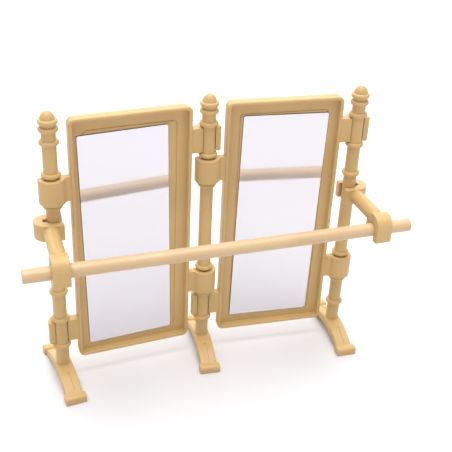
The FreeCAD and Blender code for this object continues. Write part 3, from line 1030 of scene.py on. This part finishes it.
@dataclass
class Bracket:
    """A bracket: U-shaped clip round the post, round arm, and the hook that holds the rod."""

    side: Side
    axis: Vector
    tall: float = 5.7
    half: float = 4.2
    out: float = 2.3
    jaw: float = 2.8
    bore: float = 2.3
    half_mouth: float = 2.0
    relief_half: float = 0.8
    relief: float = 3.5
    arm: float = 2.5
    arm_out: float = 1.45
    arm_dome: float = 3.7
    arm_sink: float = 1.0
    skirt: float = 0.3
    reach: float = 21.4
    drop: float = 3.1
    hook_out: float = 1.6
    hook_wide: float = 5.5
    hook_half: float = 4.2
    crest: float = 2.65
    front_jaw: float = 3.5
    rear_jaw: float = 1.5
    lip_front: float = 1.55
    lip_rear: float = 2.15
    jaw_round: float = 0.7
    edge_round: float = 0.4

    def clip(self) -> bmesh.types.BMesh:
        """Make the U-shaped clip with its relief notch.

        Returns:
            Its mesh, about the axis of the post.
        """
        mesh = bmesh.new()
        low = Vector((0, 0, -self.tall / 2))
        mouth = math.sqrt(self.bore ** 2 - self.half_mouth ** 2)
        notch = -math.sqrt(self.bore ** 2 - self.relief_half ** 2)
        sweep = 180.0 - math.degrees(math.asin(self.half_mouth / self.bore)
                                     + math.asin(self.relief_half / self.bore))
        pen = Pen(mesh, low + Vector((self.jaw, -self.half, 0)), Z_AXIS)
        pen.line(low + Vector((-self.out, -self.half, 0)))
        pen.arc(low + Vector((-self.out, 0, 0)), -180.0, steps=24)
        pen.line(low + Vector((self.jaw, self.half, 0)),
                 low + Vector((self.jaw, self.half_mouth, 0)),
                 low + Vector((mouth, self.half_mouth, 0)))
        pen.arc(low, sweep, steps=14)
        pen.line(low + Vector((-self.relief, self.relief_half, 0)),
                 low + Vector((-self.relief, -self.relief_half, 0)),
                 low + Vector((notch, -self.relief_half, 0)))
        pen.arc(low, sweep, steps=14)
        pen.line(low + Vector((self.jaw, -self.half_mouth, 0)))
        thicken(mesh, pen.close(), Z_AXIS * self.tall)
        soften(mesh, self.edge_round, segments=4, wanted=is_sharp)
        return mesh

    def bar(self) -> bmesh.types.BMesh:
        """Turn the round arm, a little wider where it leaves the clip.

        Returns:
            Its mesh, about the axis of the post.
        """
        mesh = bmesh.new()
        root = self.half - self.arm_sink
        wide = self.arm + self.skirt
        pen = Pen(mesh, Z_AXIS * root, -Y_AXIS)
        pen.line(Vector((wide, 0, root)), Vector((wide, 0, self.half)))
        pen.arc(Vector((wide, 0, self.half + self.skirt)), -90.0, steps=5)
        tip = self.reach - self.arm_dome
        pen.line(Vector((self.arm, 0, tip)))
        pen.arc(Z_AXIS * tip, 90.0, steps=10)
        lathe(mesh, steps=48)
        lay = (Matrix.Translation(Vector((-self.arm_out, 0, 0)) * MM)
               @ Matrix.Rotation(math.pi / 2, 4, "X"))
        bmesh.ops.transform(mesh, matrix=lay, verts=mesh.verts[:])
        return mesh

    def hook(self) -> bmesh.types.BMesh:
        """Make the hook, open below, that the rod snaps into.

        Returns:
            Its mesh, about the axis of the post.
        """
        mesh = bmesh.new()
        start = Vector((-self.hook_out - self.hook_wide / 2, -self.reach, 0))
        rod = start - Z_AXIS * self.drop
        arch = start + Z_AXIS * (self.crest - self.hook_half)
        lowest = -self.front_jaw
        corner = self.jaw_round
        entry = math.sqrt(self.bore ** 2 - self.lip_front ** 2)
        pen = Pen(mesh, arch + Y_AXIS * self.hook_half, X_AXIS)
        pen.arc(arch, 180.0, steps=32)
        pen.line(rod + Vector((0, -self.hook_half, lowest + corner)))
        pen.arc(rod + Vector((0, -self.hook_half + corner, lowest + corner)), 90.0, steps=6)
        pen.line(rod + Vector((0, -self.lip_front, lowest)),
                 rod + Vector((0, -self.lip_front, -entry)))
        sweep = 360.0 - math.degrees(math.asin(self.lip_front / self.bore)
                                     + math.asin(self.lip_rear / self.bore))
        pen.arc(rod, -sweep, steps=40)
        pen.line(rod + Vector((0, self.lip_rear, -self.rear_jaw)),
                 rod + Vector((0, self.hook_half - corner, -self.rear_jaw)))
        pen.arc(rod + Vector((0, self.hook_half - corner, corner - self.rear_jaw)), 90.0, steps=6)
        thicken(mesh, pen.close(), X_AXIS * self.hook_wide)
        soften(mesh, self.edge_round, segments=4, wanted=is_sharp)
        return mesh

    def build(self, shop: Workshop) -> None:
        """Make and dress every piece of the bracket.

        Args:
            shop: makes the pieces.
        """
        name = f"{self.side.name.lower()}_bracket"
        hand = Matrix.Diagonal((-self.side.value, 1, 1, 1))
        place = Matrix.Translation(self.axis) @ hand
        clip = shop.piece(f"{name}_clip", self.clip(), place, name, Slot.BEIGE, BEIGE)
        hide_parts(name)
        shop.piece(f"{name}_arm", self.bar(), place, name, Slot.BEIGE, BEIGE)
        shop.piece(f"{name}_hook", self.hook(), place, name, Slot.BEIGE, BEIGE)


@dataclass
class Barre:
    """The hand rail: a plain round rod with softened ends."""

    ends: tuple[Vector, Vector]
    radius: float = 2.25
    end_round: float = 0.35

    def rod(self) -> bmesh.types.BMesh:
        """Make the rod along X.

        Returns:
            Its mesh in the row frame.
        """
        mesh = bmesh.new()
        low, high = self.ends
        lay = Matrix.Translation((low + high) / 2) @ Matrix.Rotation(math.pi / 2, 4, "Y")
        bmesh.ops.create_cone(
            mesh, cap_ends=True, cap_tris=False, segments=64, radius1=self.radius * MM,
            radius2=self.radius * MM, depth=high.x - low.x, matrix=lay)
        soften(mesh, self.end_round, segments=4, wanted=is_sharp)
        return mesh

    def build(self, shop: Workshop) -> None:
        """Make and dress the rod.

        Args:
            shop: makes the piece.
        """
        rod = shop.piece("barre_rod", self.rod(), Matrix.Identity(4), "barre", Slot.BARRE, ROD)
        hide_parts("barre")


# ------------------------------------------------------------------ studio

@dataclass(frozen=True)
class SoftLight:
    """Even light from a wide part of the ceiling."""

    name: str
    run: tuple[float, float, float]
    spread: float
    strength: float


@dataclass
class Studio:
    """Pale floor, soft light and the camera. Both reaches are in metres."""

    aim: tuple[float, float, float] = (5.4, 0.0, 54.4)
    distance: float = 285.3
    azimuth: float = -19.79
    elevation: float = 29.95
    roll: float = 2.92
    lens: float = 67.15
    sensor: float = 36.0
    floor_reach: float = 40.0
    view_reach: tuple[float, float] = (0.01, 100.0)
    sky: float = 0.45
    pale: tuple[float, float, float, float] = (0.72, 0.71, 0.73, 1.0)
    lights: tuple[SoftLight, ...] = (
        SoftLight("key", (0.03, 0.10, -1.0), 50.0, 3.1),
        SoftLight("back", (-0.1, -0.8, -0.55), 80.0, 2.0),
    )

    def floor(self) -> None:
        """Lay a wide pale floor."""
        mesh = bmesh.new()
        bmesh.ops.create_grid(mesh, x_segments=1, y_segments=1, size=self.floor_reach)
        data = bpy.data.meshes.new("floor")
        mesh.to_mesh(data)
        mesh.free()
        surface = Surface("pale_floor")
        surface.constants(Base_Color=self.pale, Roughness=0.7, IOR=1.2)
        data.materials.append(surface.material)
        thing = bpy.data.objects.new("floor", data)
        bpy.context.scene.collection.objects.link(thing)

    def light(self) -> None:
        """Set the pale surroundings and the soft light."""
        world = bpy.data.worlds.new("pale_room")
        world.use_nodes = True
        world.node_tree.nodes["Background"].inputs["Color"].default_value = (1.0, 1.0, 1.0, 1.0)
        world.node_tree.nodes["Background"].inputs["Strength"].default_value = self.sky
        bpy.context.scene.world = world
        for light in self.lights:
            lamp = bpy.data.lights.new(light.name, "SUN")
            lamp.angle = math.radians(light.spread)
            lamp.energy = light.strength
            thing = bpy.data.objects.new(light.name, lamp)
            bpy.context.scene.collection.objects.link(thing)
            thing.rotation_euler = Vector(light.run).to_track_quat("-Z", "Y").to_euler()

    def camera(self) -> None:
        """Set the camera where the screen is seen from the front left and above."""
        lens = bpy.data.cameras.new("camera")
        lens.lens = self.lens
        lens.sensor_width = self.sensor
        thing = bpy.data.objects.new("camera", lens)
        bpy.context.scene.collection.objects.link(thing)
        around, above = math.radians(self.azimuth), math.radians(self.elevation)
        away = Vector((-math.sin(around) * math.cos(above), math.cos(around) * math.cos(above),
                       -math.sin(above)))
        aim = away.to_track_quat("-Z", "Y").to_matrix().to_4x4()
        thing.matrix_world = (Matrix.Translation((Vector(self.aim) - away * self.distance) * MM)
                              @ aim @ Matrix.Rotation(math.radians(self.roll), 4, "Z"))
        lens.clip_start, lens.clip_end = self.view_reach
        bpy.context.scene.camera = thing

    def build(self) -> None:
        """Set up the whole studio."""
        self.floor()
        self.light()
        self.camera()
        bpy.context.scene.view_settings.view_transform = "Standard"


# ------------------------------------------------------------------ the screen

def joint_points() -> dict[str, Vector]:
    """Where each hinge of the record is, in metres.

    Returns:
        The point of each hinge by its name.
    """
    return {joint["name"]: Vector(joint["pos_m"])
            for joint in frame["joints"] if joint["type"] == "hinge"}


def main() -> None:
    """Build the screen round the frame, then the studio."""
    hinges = joint_points()
    centre = Vector((*hinges["fold"].xy, 0.0))
    left = Vector((*hinges["left_post_turn"].xy, 0.0))
    right = Vector((*hinges["right_post_turn"].xy, 0.0))
    shop = Workshop()
    axes = {"centre_post": centre, "left_post": left, "right_post": right}
    for node, turn in POST_TURNS.items():
        Post(node, axes[node], turn).build(shop)
    pitch = (centre - left).length / MM
    lean = math.degrees(math.atan2(centre.y - left.y, centre.x - left.x))
    Panel(Side.LEFT, (left + centre) / 2, lean, pitch, shift=-1.75, drop=1.0, tilt=1.1).build(shop)
    Panel(Side.RIGHT, (right + centre) / 2, -lean, pitch,
          shift=0.2, drop=0.6, tilt=-0.9).build(shop)
    Bracket(Side.LEFT, hinges["left_bracket_swing"]).build(shop)
    Bracket(Side.RIGHT, hinges["right_bracket_swing"]).build(shop)
    low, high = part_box("barre")
    level = (low + high) / 2
    Barre((Vector((low.x, level.y, level.z)), Vector((high.x, level.y, level.z)))).build(shop)
    Studio().build()


if __name__ == "__main__":
    main()
